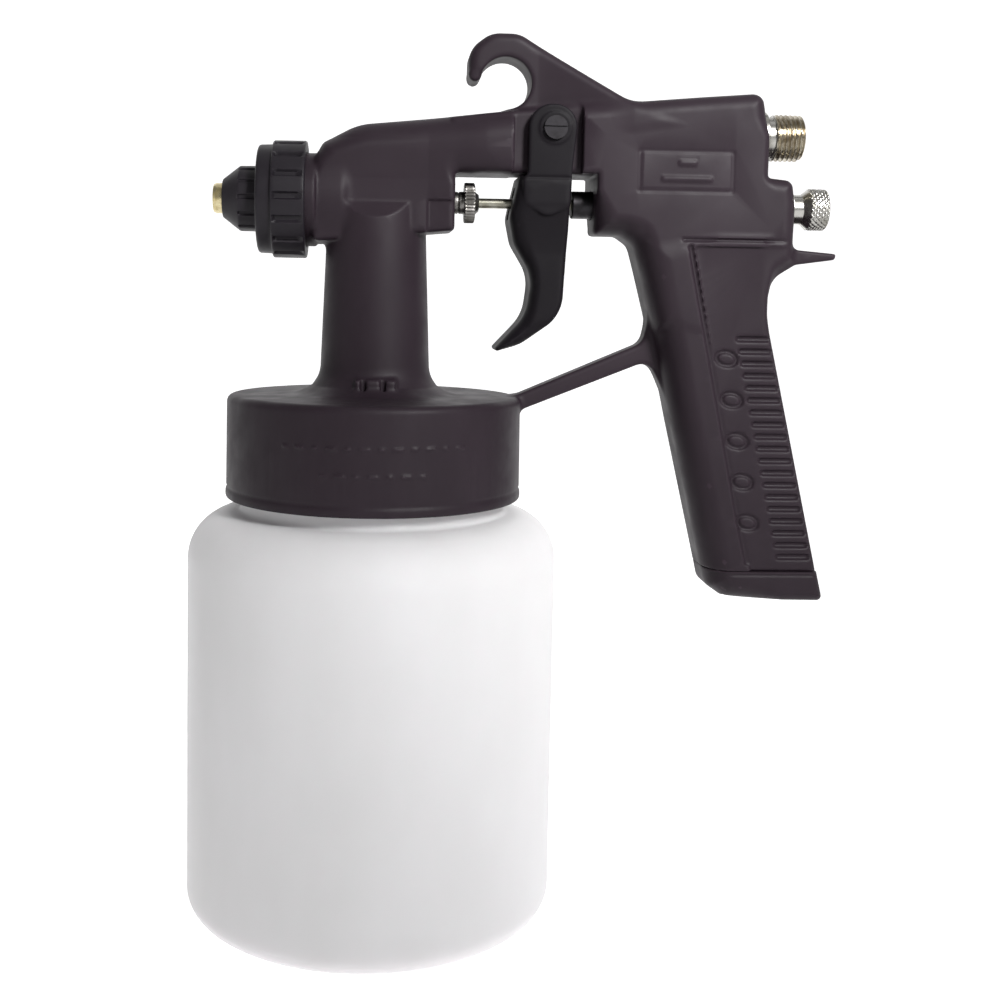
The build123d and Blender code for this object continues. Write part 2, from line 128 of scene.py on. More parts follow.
def polygon_distance(u, v, points):
    """Signed distance from (u, v) to a closed outline, negative inside."""
    nearest = np.full(np.broadcast(u, v).shape, 1e9, np.float32)
    inside = np.zeros(nearest.shape, bool)
    for (au, av), (bu, bv) in zip(points, points[1:] + points[:1]):
        eu, ev = bu - au, bv - av
        along = ((u - au) * eu + (v - av) * ev) / (eu * eu + ev * ev + 1e-12)
        along = np.clip(along, 0, 1)
        nearest = np.minimum(nearest, (u - au - along * eu) ** 2 + (v - av - along * ev) ** 2)
        if av != bv:
            inside ^= ((av > v) != (bv > v)) & (u < au + eu * (v - av) / ev)
    return np.sqrt(nearest) * np.where(inside, -1.0, 1.0)


def joined(flat, deep, edge):
    """Distance to a body bounded by two distances at right angles, with rounded edges."""
    a, b = flat + edge, deep + edge
    return np.minimum(np.maximum(a, b), 0) + np.hypot(np.maximum(a, 0), np.maximum(b, 0)) - edge


def slab(corners, half, edge=0.5, y=0.0):
    """Plate of an XZ outline, centred on y."""
    points = outline(corners)
    us, vs = [p[0] for p in points], [p[1] for p in points]
    box = (min(us), y - half, min(vs)), (max(us), y + half, max(vs))
    return lambda x, yy, z: joined(polygon_distance(x, z, points), np.abs(yy - y) - half, edge), box


def widened(box, half):
    """The same box, but from -half to half along Y."""
    (x0, _, z0), (x1, _, z1) = box
    return (x0, -half, z0), (x1, half, z1)


def turned_z(corners, x=0.0, y=0.0):
    """Body of revolution of (radius, z, rounding) about a line along Z."""
    points = outline(corners)
    points = [(u if u > 0 else -5.0, v) for u, v in points]
    r, vs = max(p[0] for p in points), [p[1] for p in points]
    box = (x - r, y - r, min(vs)), (x + r, y + r, max(vs))
    return lambda xx, yy, z: polygon_distance(np.hypot(xx - x, yy - y), z, points), box


def bar(axis, radius, low, high, centre, edge):
    """Cylinder along axis 0, 1 or 2; centre is its place on the two others."""
    middle, half = (low + high) / 2, (high - low) / 2
    below, above = [c - radius for c in centre], [c + radius for c in centre]
    below.insert(axis, low)
    above.insert(axis, high)

    def distance(*point):
        u, v = (p - c for p, c in zip(point[:axis] + point[axis + 1:], centre))
        return joined(np.hypot(u, v) - radius, np.abs(point[axis] - middle) - half, edge)

    return distance, (tuple(below), tuple(above))


def post(radius, low, high, x=0.0, y=0.0, edge=0.0):
    """Cylinder along Z."""
    return bar(2, radius, low, high, (x, y), edge)


def rod(radius, low, high, z=None, y=0.0, edge=0.0):
    """Cylinder along X."""
    return bar(0, radius, low, high, (y, AXIS_Z if z is None else z), edge)


def cross(radius, low, high, x, z0, edge=0.0):
    """Cylinder along Y."""
    return bar(1, radius, low, high, (x, z0), edge)


def column(low, high, low_r, high_r, stretch=1.0):
    """Upright tapered column round the Z axis; stretch widens it along Y."""
    slope = (high_r - low_r) / (high - low)
    r = max(low_r, high_r)
    box = (-r, -r * stretch, low), (r, r * stretch, high)
    middle, half = (low + high) / 2, (high - low) / 2

    def distance(x, y, z):
        side = np.hypot(x, y / stretch) - (low_r + slope * (z - low))
        return joined(side, np.abs(z - middle) - half, 0.0)

    return distance, box


def half_space(point, normal, box):
    """Everything on the far side of a plane, within a box."""
    p = np.array(point, float)
    n = np.array(normal, float) / np.linalg.norm(normal)
    return lambda x, y, z: (x - p[0]) * n[0] + (y - p[1]) * n[1] + (z - p[2]) * n[2], box


def smooth_min(a, b, blend):
    """Smaller of two distances with a fillet of about that size."""
    if blend <= 0:
        return np.minimum(a, b)
    overlap = np.maximum(blend - np.abs(a - b), 0) / blend
    return np.minimum(a, b) - overlap * overlap * blend / 4


class Field:
    """Signed distance on a regular grid, negative inside."""

    def __init__(self, low, high, step=VOXEL):
        self.step = step
        self.axes = [np.arange(a, b + step, step, dtype=np.float32) for a, b in zip(low, high)]
        self.value = np.full([len(a) for a in self.axes], 50.0, np.float32)

    def _window(self, box, margin):
        cut = []
        for axis, low, high in zip(self.axes, *box):
            start = int(np.searchsorted(axis, low - margin))
            stop = int(np.searchsorted(axis, high + margin))
            cut.append(slice(max(start, 0), max(min(stop, len(axis)), start)))
        x, y, z = (a[c] for a, c in zip(self.axes, cut))
        return tuple(cut), (x[:, None, None], y[None, :, None], z[None, None, :])

    def add(self, shape, blend=0.0, margin=6.0):
        """Join a shape on, with a fillet."""
        distance, box = shape
        cut, grid = self._window(box, margin)
        self.value[cut] = smooth_min(self.value[cut], distance(*grid), blend)

    def cut(self, shape, blend=0.0, margin=6.0):
        """Take a shape away."""
        distance, box = shape
        cut, grid = self._window(box, margin)
        self.value[cut] = -smooth_min(-self.value[cut], distance(*grid), blend)

    def surface(self):
        """Vertices and quads of the zero surface."""
        f, step = self.value, self.step
        inner = f < 0
        cells = tuple(n - 1 for n in f.shape)
        corner = [(i, j, k) for i in (0, 1) for j in (0, 1) for k in (0, 1)]
        total = np.zeros(cells, np.int8)
        for i, j, k in corner:
            total += inner[i:cells[0] + i, j:cells[1] + j, k:cells[2] + k]
        mixed = np.argwhere((total > 0) & (total < 8))
        index = np.full(cells, -1, np.int64)
        index[tuple(mixed.T)] = np.arange(len(mixed))
        place = np.zeros((len(mixed), 3))
        hits = np.zeros(len(mixed))
        for start in corner:
            for axis in range(3):
                if start[axis]:
                    continue
                end = list(start)
                end[axis] = 1
                a = f[tuple((mixed + start).T)]
                b = f[tuple((mixed + end).T)]
                crossed = (a < 0) != (b < 0)
                along = np.where(crossed, a / np.where(crossed, a - b, 1), 0)
                point = np.array(start, float) + along[:, None] * np.eye(3)[axis]
                place += np.where(crossed[:, None], point, 0)
                hits += crossed
        origin = np.array([a[0] for a in self.axes])
        vertices = (mixed + place / hits[:, None]) * step + origin
        quads = []
        for axis in range(3):
            b, c = (axis + 1) % 3, (axis + 2) % 3
            head = [slice(None)] * 3
            tail = [slice(None)] * 3
            head[axis], tail[axis] = slice(0, -1), slice(1, None)
            changed = inner[tuple(head)] != inner[tuple(tail)]
            edges = np.argwhere(changed)
            edges = edges[(edges[:, b] > 0) & (edges[:, c] > 0)]
            edges = edges[(edges[:, b] < cells[b]) & (edges[:, c] < cells[c])]
            ring = []
            for db, dc in ((1, 1), (0, 1), (0, 0), (1, 0)):
                cell = edges.copy()
                cell[:, b] -= db
                cell[:, c] -= dc
                ring.append(index[tuple(cell.T)])
            quad = np.stack(ring, 1)
            flip = ~inner[tuple(edges.T)]
            quad[flip] = quad[flip][:, ::-1]
            quads.append(quad)
        return vertices, np.concatenate(quads)

    def sample(self, points):
        """Field and slope at points, from the eight grid corners round each."""
        origin = np.array([a[0] for a in self.axes])
        q = (points - origin) / self.step
        base = np.clip(np.floor(q).astype(int), 0, np.array(self.value.shape) - 2)
        t = q - base
        value = np.zeros(len(points))
        slope = np.zeros((len(points), 3))
        for i in (0, 1):
            for j in (0, 1):
                for k in (0, 1):
                    v = self.value[base[:, 0] + i, base[:, 1] + j, base[:, 2] + k]
                    w = [t[:, a] if s else 1 - t[:, a] for a, s in enumerate((i, j, k))]
                    sign = [1 if s else -1 for s in (i, j, k)]
                    value += v * w[0] * w[1] * w[2]
                    slope[:, 0] += v * sign[0] * w[1] * w[2]
                    slope[:, 1] += v * sign[1] * w[0] * w[2]
                    slope[:, 2] += v * sign[2] * w[0] * w[1]
        return value, slope / self.step

    def relaxed(self, rounds=3):
        """Surface with its points evened out and put back on the zero level."""
        vertices, quads = self.surface()
        pairs = np.concatenate([quads[:, [0, 1]], quads[:, [1, 2]], quads[:, [2, 3]], quads[:, [3, 0]]])
        pairs = np.unique(np.sort(pairs, 1), axis=0)
        count = np.bincount(pairs.ravel(), minlength=len(vertices))[:, None]
        for _ in range(rounds):
            mean = np.zeros_like(vertices)
            for axis in range(3):
                mean[:, axis] = np.bincount(pairs[:, 0], vertices[pairs[:, 1], axis], len(vertices))
                mean[:, axis] += np.bincount(pairs[:, 1], vertices[pairs[:, 0], axis], len(vertices))
            vertices = vertices * 0.5 + mean / count * 0.5
            value, slope = self.sample(vertices)
            length = (slope ** 2).sum(1) + 1e-6
            vertices -= np.clip(value / length, -0.3, 0.3)[:, None] * slope
        return vertices, quads


# ------------------------------------------------------------------ meshes
def make_object(name, vertices, faces, smooth_angle=40.0):
    """Mesh object from millimetre points, smooth apart from sharp edges."""
    mesh = bpy.data.meshes.new(name)
    mesh.from_pydata((np.asarray(vertices, float) * MM).tolist(), [], [list(map(int, f)) for f in faces])
    mesh.validate()
    mesh.update()
    finish_shading(mesh, smooth_angle)
    thing = bpy.data.objects.new(name, mesh)
    bpy.context.scene.collection.objects.link(thing)
    return thing


def finish_shading(mesh, smooth_angle):
    """Smooth shading with sharp edges over an angle."""
    mesh.shade_smooth()
    mesh.set_sharp_from_angle(angle=math.radians(smooth_angle))


def baked(thing, smooth_angle=40.0):
    """Apply the object's modifiers to its mesh."""
    graph = bpy.context.evaluated_depsgraph_get()
    mesh = bpy.data.meshes.new_from_object(thing.evaluated_get(graph))
    thing.modifiers.clear()
    old = thing.data
    thing.data = mesh
    bpy.data.meshes.remove(old)
    finish_shading(mesh, smooth_angle)
    return thing


def moulded(name, field, faces=150000, smooth_angle=50.0):
    """Object from a distance field, thinned to about a number of triangles."""
    vertices, quads = field.relaxed()
    thing = make_object(name, vertices, quads, smooth_angle)
    ratio = faces / (2 * len(quads))
    if ratio < 1:
        thin = thing.modifiers.new("thin", "DECIMATE")
        thin.ratio = ratio
        baked(thing, smooth_angle)
    return thing


def lathe(name, profile, axis="X", centre=0.0, parts=96, relief=None, smooth_angle=35.0):
    """Closed body of revolution from (along, radius) points.

    relief(angle, along, radius) is added to the radius. Axis X turns about the line y=0, z=centre,
    and axis Z about x=y=0.
    """
    vertices = []
    rows = len(profile)
    for along, radius in profile:
        for k in range(parts):
            angle = TURN * k / parts
            r = radius + (relief(angle, along, radius) if relief and radius > 0.01 else 0.0)
            a, b = r * math.cos(angle), r * math.sin(angle)
            vertices.append((along, a, centre + b) if axis == "X" else (a, b, along))
    faces = []
    for i in range(rows):
        j = (i + 1) % rows
        for k in range(parts):
            m = (k + 1) % parts
            face = (i * parts + k, i * parts + m, j * parts + m, j * parts + k)
            faces.append(face if axis == "Z" else face[::-1])
    thing = make_object(name, vertices, faces, smooth_angle)
    clean = bmesh.new()
    clean.from_mesh(thing.data)
    bmesh.ops.remove_doubles(clean, verts=clean.verts, dist=1e-7)
    bmesh.ops.dissolve_degenerate(clean, edges=clean.edges, dist=1e-8)
    bmesh.ops.recalc_face_normals(clean, faces=clean.faces)
    clean.to_mesh(thing.data)
    clean.free()
    finish_shading(thing.data, smooth_angle)
    return thing


def rounded_profile(corners, step=0.25, along_step=None):
    """Points of a lathe profile from (along, radius, rounding), with long straight parts divided."""
    points = outline(corners, step)
    if not along_step:
        return points
    divided = []
    for a, b in zip(points, points[1:] + points[:1]):
        parts = max(1, int(math.dist(a, b) / along_step))
        for k in range(parts):
            divided.append((a[0] + (b[0] - a[0]) * k / parts, a[1] + (b[1] - a[1]) * k / parts))
    return divided


# ------------------------------------------------------------------ materials
class Paint:
    """Small helper that builds one procedural material."""

    def __init__(self, name):
        self.material = bpy.data.materials.new(name)
        self.material.use_nodes = True
        self.tree = self.material.node_tree
        self.shader = self.tree.nodes["Principled BSDF"]
        self.place = self.tree.nodes.new("ShaderNodeTexCoord").outputs["Object"]

    def node(self, kind, **values):
        made = self.tree.nodes.new("ShaderNode" + kind)
        for key, value in values.items():
            if key in made.inputs:
                made.inputs[key].default_value = value
            else:
                setattr(made, key, value)
        return made

    def link(self, source, target):
        self.tree.links.new(source, target)

    def noise(self, millimetres, detail=3.0, rough=0.55, stretch=None):
        """Noise whose features are about that size."""
        place = self.place
        if stretch:
            mapping = self.node("Mapping")
            mapping.inputs["Scale"].default_value = stretch
            self.link(place, mapping.inputs["Vector"])
            place = mapping.outputs["Vector"]
        noise = self.node("TexNoise", Scale=1.0 / (millimetres * MM), Detail=detail, Roughness=rough)
        self.link(place, noise.inputs["Vector"])
        return noise.outputs["Fac"]

    def ramp(self, source, stops):
        """Colour ramp from (position, colour) stops."""
        ramp = self.node("ValToRGB")
        while len(ramp.color_ramp.elements) < len(stops):
            ramp.color_ramp.elements.new(0.5)
        for element, (position, colour) in zip(ramp.color_ramp.elements, stops):
            element.position = position
            element.color = (*colour, 1.0) if len(colour) == 3 else colour
        self.link(source, ramp.inputs["Fac"])
        return ramp.outputs["Color"]

    def span(self, source, low, high, from_low=0.3, from_high=0.7):
        """Map a value to a range."""
        made = self.node("MapRange")
        made.inputs["From Min"].default_value = from_low
        made.inputs["From Max"].default_value = from_high
        made.inputs["To Min"].default_value = low
        made.inputs["To Max"].default_value = high
        self.link(source, made.inputs["Value"])
        return made.outputs["Result"]

    def mix(self, factor, a, b, how="MIX"):
        """Blend two colours; each is a socket or a colour."""
        made = self.node("Mix", data_type="RGBA", blend_type=how)
        for value, socket in ((factor, made.inputs[0]), (a, made.inputs[6]), (b, made.inputs[7])):
            if isinstance(value, bpy.types.NodeSocket):
                self.link(value, socket)
            elif isinstance(value, float):
                socket.default_value = value
            else:
                socket.default_value = (*value, 1.0)
        return made.outputs[2]

    def bump(self, layers):
        """Stack bumps from (height, strength, distance in millimetres)."""
        normal = None
        for height, strength, distance in layers:
            made = self.node("Bump", Strength=strength, Distance=distance * MM)
            self.link(height, made.inputs["Height"])
            if normal:
                self.link(normal, made.inputs["Normal"])
            normal = made.outputs["Normal"]
        self.link(normal, self.shader.inputs["Normal"])

    def set(self, **values):
        """Fixed shader values, with _ for a space in the socket's name."""
        for key, value in values.items():
            self.shader.inputs[key.replace("_", " ")].default_value = value


def nylon(name, dark, light, rough, gloss):
    """Moulded nylon: fine grain, soft flow marks, and sharp edges painted lighter in patches, partly as
    rubbed wear and partly as a painted highlight.
    """
    p = Paint(name)
    flow = p.noise(26.0, 4.0, 0.6, (1.0, 1.0, 0.45))
    grain = p.noise(0.35, 2.0)
    patch = p.noise(7.0, 3.0)
    body = p.ramp(flow, [(0.3, dark), (0.72, light)])
    # painted highlight with some rubbed wear: sharp edges (high pointiness) are lightened in patches,
    # standing for light catching the edges as well as wear
    wear_and_edge_highlight = p.ramp(p.node("NewGeometry").outputs["Pointiness"], [(0.515, (0, 0, 0)), (0.60, (1, 1, 1))])
    rubbed_and_highlighted = p.mix(p.mix(1.0, wear_and_edge_highlight, p.ramp(patch, [(0.35, (0.15,) * 3), (0.7, (0.6,) * 3)]), "MULTIPLY"),
                   body, tuple(min(1.0, c * 2.3) for c in light))
    p.link(rubbed_and_highlighted, p.shader.inputs["Base Color"])
    p.link(p.span(patch, rough - 0.05, rough + 0.08), p.shader.inputs["Roughness"])
    p.bump([(flow, 0.12, 0.6), (patch, 0.10, 0.12), (grain, 0.22, 0.035)])
    p.set(Specular_IOR_Level=gloss)
    return p.material


def plated(name, colour, tint, rough, bump=0.12):
    """Bright or dull plated metal with turning marks and stains."""
    p = Paint(name)
    p.set(Metallic=1.0)
    stain = p.noise(3.0, 4.0)
    turning = p.noise(0.25, 2.0, 0.5, (1.0, 0.06, 0.06))
    p.link(p.ramp(stain, [(0.32, tint), (0.6, colour)]), p.shader.inputs["Base Color"])
    p.link(p.span(stain, rough + 0.14, rough), p.shader.inputs["Roughness"])
    p.bump([(stain, 0.05, 0.1), (turning, bump, 0.03)])
    return p.material


def milky_plastic():
    """Translucent blow-moulded polyethylene."""
    p = Paint("milky_polyethylene")
    cloud = p.noise(34.0, 3.0, 0.5, (1.0, 1.0, 0.5))
    skin = p.noise(1.6, 3.0)
    tone = p.ramp(cloud, [(0.3, (0.66, 0.645, 0.655)), (0.7, (0.72, 0.70, 0.72))])
    p.link(tone, p.shader.inputs["Base Color"])
    p.link(p.span(cloud, 0.52, 0.62), p.shader.inputs["Roughness"])
    p.set(Subsurface_Weight=0.75, Subsurface_Scale=0.006, Specular_IOR_Level=0.25)
    p.shader.inputs["Subsurface Radius"].default_value = (1.0, 0.92, 0.95)
    p.bump([(cloud, 0.10, 0.5), (skin, 0.07, 0.05)])
    return p.material


def soft_black(name, colour, rough):
    """Rubber or fibre with a fine grain."""
    p = Paint(name)
    grain = p.noise(0.4, 3.0)
    light = tuple(c * 1.5 for c in colour)
    p.link(p.ramp(grain, [(0.3, colour), (0.7, light)]), p.shader.inputs["Base Color"])
    p.link(p.span(grain, rough, rough + 0.1), p.shader.inputs["Roughness"])
    p.bump([(grain, 0.2, 0.05)])
    return p.material


def backdrop_paint():
    """Plain pale paper."""
    p = Paint("backdrop_paper")
    fibre = p.noise(1.5, 3.0)
    tone = p.ramp(fibre, [(0.2, (0.90, 0.90, 0.90)), (0.8, (0.93, 0.93, 0.93))])
    p.link(tone, p.shader.inputs["Base Color"])
    p.set(Roughness=0.9, Emission_Strength=0.70)
    p.shader.inputs["Emission Color"].default_value = (1.0, 1.0, 1.0, 1.0)
    return p.material


BODY_NYLON = nylon("body_nylon", (0.0145, 0.0094, 0.0132), (0.0200, 0.0134, 0.0183), 0.50, 0.16)
NOSE_NYLON = nylon("nose_nylon", (0.0085, 0.0070, 0.0092), (0.0130, 0.0107, 0.0140), 0.44, 0.20)
TRIGGER_NYLON = nylon("trigger_nylon", (0.0045, 0.0036, 0.0048), (0.0070, 0.0056, 0.0075), 0.52, 0.10)
NICKEL = plated("nickel_plate", (0.50, 0.49, 0.465), (0.27, 0.26, 0.23), 0.18)
WARM_NICKEL = plated("warm_nickel", (0.47, 0.43, 0.35), (0.24, 0.20, 0.14), 0.20)
DARK_NICKEL = plated("dark_nickel", (0.24, 0.23, 0.22), (0.10, 0.095, 0.085), 0.30)
BLACKENED = plated("blackened_steel", (0.035, 0.033, 0.036), (0.018, 0.017, 0.018), 0.34)
STEEL = plated("needle_steel", (0.33, 0.32, 0.27), (0.17, 0.16, 0.12), 0.30)
BRASS = plated("pale_brass", (0.66, 0.58, 0.36), (0.42, 0.34, 0.15), 0.20)
ALUMINIUM = plated("drawn_aluminium", (0.60, 0.60, 0.61), (0.48, 0.48, 0.49), 0.36, 0.02)
MILKY = milky_plastic()
RUBBER = soft_black("black_rubber", (0.012, 0.012, 0.012), 0.6)
FIBRE = soft_black("white_gland", (0.5, 0.5, 0.48), 0.5)


# ------------------------------------------------------------------ the nylon moulding
def hook_shape(moulding):
    """Hanging hook, flush with the block at its root and thinner at its tip."""
    outer = [
        (24.9, 232.9, 1.2), (24.9, 240.3, 7.0), (31.0, 244.9, 7.5),
        (38.9, 244.9, 8.0), (69.4, 226.3, 10.0), (84.0, 220.0, 0.0),
        (60.0, 216.0, 0.0), (34.8, 219.0, 0.0), (34.8, 232.9, 0.0),
    ]
    flat, box = slab(outer, 40.0, 0.1)

    def tapered(x, y, z):
        half = 6.4 + 5.7 * np.clip((x - 44.0) / 26.0, 0, 1) ** 1.2
        return joined(flat(x, 0 * y, z), np.abs(y) - half, 2.6)

    moulding.add((tapered, widened(box, 12.2)), 2.0)
    moulding.cut(cross(7.15, -20, 20, 35.2, 231.1), 1.0)
    moulding.cut(slab([(24.0, 224.4, 0), (35.2, 224.0, 0), (35.2, 232.9, 0), (24.0, 232.9, 0)], 20.0), 0.6)
    moulding.add(cross(1.75, -6.0, 6.0, 26.65, 233.2, 1.2), 0.8)


def barrel_shape(moulding):
    """Broad barrel, wider towards the trigger, and the narrower beam behind it."""
    side = [
        (BARREL_FRONT_X, 186.4, 2.0), (BARREL_FRONT_X, 208.6, 1.0), (-15.0, 213.9, 3.0),
        (-5.4, 219.06, 18.0), (50.0, 224.7, 0.0), (50.0, 206.3, 0.0),
        (21.5, 206.3, 1.4), (21.5, 190.1, 1.0),
    ]
    flat = slab(side, 30.0, 0.1)[0]
    box = ((BARREL_FRONT_X, -BODY_HALF, 186.0), (38.0, BODY_HALF, 225.0))

    def rounded(x, y, z):
        edge = 1.6 + 6.4 * np.clip((z - 203.0) / 12.0, 0, 1)
        half = 10.3 + 1.9 * np.clip((x - 14.0) / 20.0, 0, 1) + 0.7 * np.clip((z - 204.0) / 8.0, 0, 1)
        half = half - 0.9 * np.clip((x - 13.6) / 0.6, 0, 1) * np.clip((198.6 - z) / 0.6, 0, 1)
        shape = joined(flat(x, 0 * y, z), np.abs(y) - np.minimum(half, BODY_HALF), edge)
        return np.maximum(shape, x - BARREL_REAR_X)

    moulding.add((rounded, box), 0.4)
    beam = [
        (20.0, 206.3, 0.0), (20.0, 221.2, 0.0), (36.0, 223.2, 0.0),
        (60.0, 225.4, 0.0), (74.0, 226.6, 0.0), (74.0, 206.3, 0.0),
    ]
    moulding.add(slab(beam, BEAM_HALF, 1.6), 0.8)
    moulding.add(rod(11.4, BARREL_FRONT_X, -9.0, edge=1.0), 3.0)
    moulding.add(rod(SPIGOT_R, SPIGOT_FRONT_X, BARREL_FRONT_X + 1.0, edge=0.5), 0.6)


def block_shape(moulding):
    """Rear block with its round boss and the small fin over the hand."""
    side = [
        (BLOCK_FRONT_X, 189.7, 1.2), (BLOCK_FRONT_X, 206.3, 0.3), (50.0, 206.3, 0.0),
        (50.0, 224.4, 0.0), (73.0, 226.6, 8.0), (90.6, 228.2, 20.0),
        (106.4, 229.5, 3.2), (108.4, 217.0, 12.0), (108.3, 206.3, 0.8),
        (115.3, 205.6, 2.4), (116.3, 198.4, 8.0), (115.9, 183.2, 1.4),
        (111.4, 180.2, 4.0), (108.9, 173.0, 4.0), (108.7, 164.0, 0.0),
        (79.0, 164.0, 0.0), (72.0, 187.0, 5.0), (68.0, 189.7, 3.0),
    ]
    flat = slab(side, 30.0, 0.1)[0]
    box = ((BLOCK_ROOT_X, -BODY_HALF, 164.0), (117.5, BODY_HALF, 230.0))

    def rounded(x, y, z):
        top = np.clip((z - 214.0) / 8.0, 0, 1)
        low_front = np.clip((88.0 - x) / 14.0, 0, 1) * np.clip((202.0 - z) / 10.0, 0, 1)
        rear = np.clip((x - 104.0) / 6.0, 0, 1)
        edge = 1.4 + 3.0 * np.maximum(top, rear * 0.8) + 7.0 * low_front
        shape = joined(flat(x, 0 * y, z), np.abs(y) - BODY_HALF, edge)
        return np.maximum(shape, BLOCK_ROOT_X - x)

    moulding.add((rounded, box), 0.5)
    fin = [
        (110.0, 187.9, 0.0), (118.0, 186.5, 4.0), (128.8, 185.6, 0.5),
        (128.4, 183.9, 0.5), (117.0, 182.3, 4.0), (110.0, 178.0, 0.0),
    ]
    moulding.add(slab(fin, 9.0, 0.7), 2.4)


def grip_shape(moulding):
    """Leaning grip with a big round front edge and a smaller rear one."""
    side = [
        (72.4, 190.0, 0.0), (77.3, 168.0, 30.0), (84.2, 137.2, 40.0),
        (97.7, 80.2, 0.0), (129.1, 80.2, 0.0), (108.8, 168.5, 7.0),
        (108.8, 190.0, 0.0),
    ]
    flat, box = slab(side, 30.0, 0.1)

    def rounded(x, y, z):
        front = 75.5 + (176.0 - z) * 0.215
        edge = 3.2 + 6.6 * np.clip(1 - (x - front) / 22.0, 0, 1)
        return joined(flat(x, 0 * y, z), np.abs(y) - GRIP_HALF, edge)

    moulding.add((rounded, widened(box, GRIP_HALF)), 2.0)
    moulding.cut(half_space((100, 0, FOOT_TOP_Z), (0, 0, 1), ((88, -16, 92), (132, 16, FOOT_TOP_Z))))


def brace_shape(moulding):
    """Slanted strut between lid and grip."""
    side = [
        (36.0, 137.9, 0.0), (36.0, 142.6, 0.0), (75.7, 159.7, 4.5),
        (77.6, 168.0, 0.0), (84.0, 168.0, 0.0), (87.0, 140.0, 0.0),
        (81.6, 147.2, 3.0), (77.6, 154.6, 4.0),
    ]
    moulding.add(slab(side, 3.5, 1.1), 1.6)


def neck_shape(moulding):
    """Column between lid and barrel, with its side facets, and the two vents at its foot."""
    shaft, box = column(141.0, NECK_TOP_Z, 15.75, 13.6)
    facet = 5.8 / 4.5

    def cut_top(x, y, z):
        tent = (z - NECK_TOP_Z + (np.abs(y) - 9.9) * facet) / math.hypot(1, facet)
        return np.maximum(shaft(x, y, z), tent)

    moulding.add((cut_top, box), 0.25)
    moulding.add(turned_z([(0, 142.5, 0), (17.0, 142.5, 0), (17.0, 145.6, 0.8), (0, 145.6, 0)]), 7.0)
    vent = [(-17.9, 143.5, 0.0), (-17.9, 149.0, 1.0), (-12.0, 149.8, 0.0), (-12.0, 143.5, 0.0)]
    points = outline(vent)
    box = ((-5.4, -18.0, 143.0), (5.9, -12.0, 150.0))

    def vent_block(x, y, z):
        return joined(polygon_distance(y, z, points), np.abs(x - 0.25) - 5.6, 0.7)

    moulding.add((vent_block, box), 1.0)
    for x in (-3.0, 2.3):
        moulding.cut(post(0.85, 144.6, 149.4, x, -17.4, 0.3), 0.4)


def lid_shape(moulding):
    """Gently domed lid with a bead round its mouth."""
    outer = [
        (0, LID_BOTTOM_Z, 0.0), (LID_R + 0.35, LID_BOTTOM_Z, 0.7),
        (LID_R + 0.35, LID_BOTTOM_Z + 2.3, 0.8),
        (LID_R - 0.25, LID_BOTTOM_Z + 2.9, 0.3), (LID_R + 0.15, LID_BOTTOM_Z + 3.5, 0.3),
        (LID_R, 143.9, 2.0),
        (20.0, LID_TOP_Z + 0.2, 40.0), (0, LID_TOP_Z, 0.0),
    ]
    moulding.add(turned_z(outer), 1.2)


def hollows(moulding):
    """Inside of the lid, neck, grip and needle line."""
    moulding.cut(post(LID_BORE_R, LID_BOTTOM_Z - 4, LID_CEILING_Z, edge=0.0), 0.3)
    moulding.cut(post(4.85, LID_CEILING_Z - 3, 166.0))
    moulding.cut(rod(5.1, SPIGOT_FRONT_X - 4, -16.3))
    moulding.cut(rod(3.25, -17.0, 25.0), 0.4)
    moulding.cut(rod(3.95, 54.0, 72.0), 0.5)
    moulding.cut(rod(6.4, 70.0, 107.0))
    moulding.cut(rod(6.2, 106.9, 123.0))
    moulding.cut(rod(7.3, 98.4, 115.0, z=INLET_Z))
    moulding.cut(cross(2.6, -20, 20, PIVOT_X, PIVOT_Z))
    inside = [
        (77.6, 185.0, 3.0), (87.2, 137.2, 30.0), (97.6, 92.0, 0.0),
        (123.2, 92.0, 0.0), (105.6, 168.0, 6.0), (105.6, 185.0, 3.0),
    ]
    moulding.cut(slab(inside, GRIP_HALF - 3.2, 1.5))


def groove(moulding, ends, width, depth, half, sides=(-1, 1)):
    """Shallow moulded line between (x, z) points on the flat sides at y = half."""
    for (ax, az), (bx, bz) in zip(ends, ends[1:]):
        length = math.hypot(bx - ax, bz - az)
        ux, uz = (bx - ax) / length, (bz - az) / length
        for side in sides:

            def distance(x, y, z, ax=ax, az=az, ux=ux, uz=uz, length=length, side=side):
                along = np.clip((x - ax) * ux + (z - az) * uz, 0, length)
                off = np.hypot(x - ax - along * ux, z - az - along * uz)
                return np.hypot(off * depth / width * 2, y - side * half) - depth

            low = (min(ax, bx) - width, side * half - depth, min(az, bz) - width)
            high = (max(ax, bx) + width, side * half + depth, max(az, bz) + width)
            moulding.cut((distance, (low, high)), 0.25)


def oval(x, z, long_r, short_r):
    """Points round a closed oval that leans with the grip."""
    lean = math.radians(12)
    points = []
    for k in range(17):
        angle = TURN * k / 16
        u, v = long_r * math.cos(angle), short_r * math.sin(angle)
        across = x + u * math.cos(lean) + v * math.sin(lean)
        points.append((across, z - u * math.sin(lean) + v * math.cos(lean)))
    return points


def block_panel(moulding):
    """Moulded border with two plain bars in it, on both sides of the block."""
    frame_line = [(71.9, 201.9), (97.8, 201.9), (97.8, 212.8), (71.9, 212.8), (71.9, 201.9)]
    groove(moulding, frame_line, 0.9, 0.45, BODY_HALF)
    for x0, x1, z in ((82.6, 87.6, 209.6), (78.0, 92.0, 205.2)):
        for side in (-1, 1):
            moulding.add(rod(0.8, x0, x1, z, side * (BODY_HALF - 0.3), 0.3), 0.4)
    groove(moulding, [(61.6, 192.0), (64.0, 190.9), (69.0, 190.7)], 0.7, 0.25, BODY_HALF)


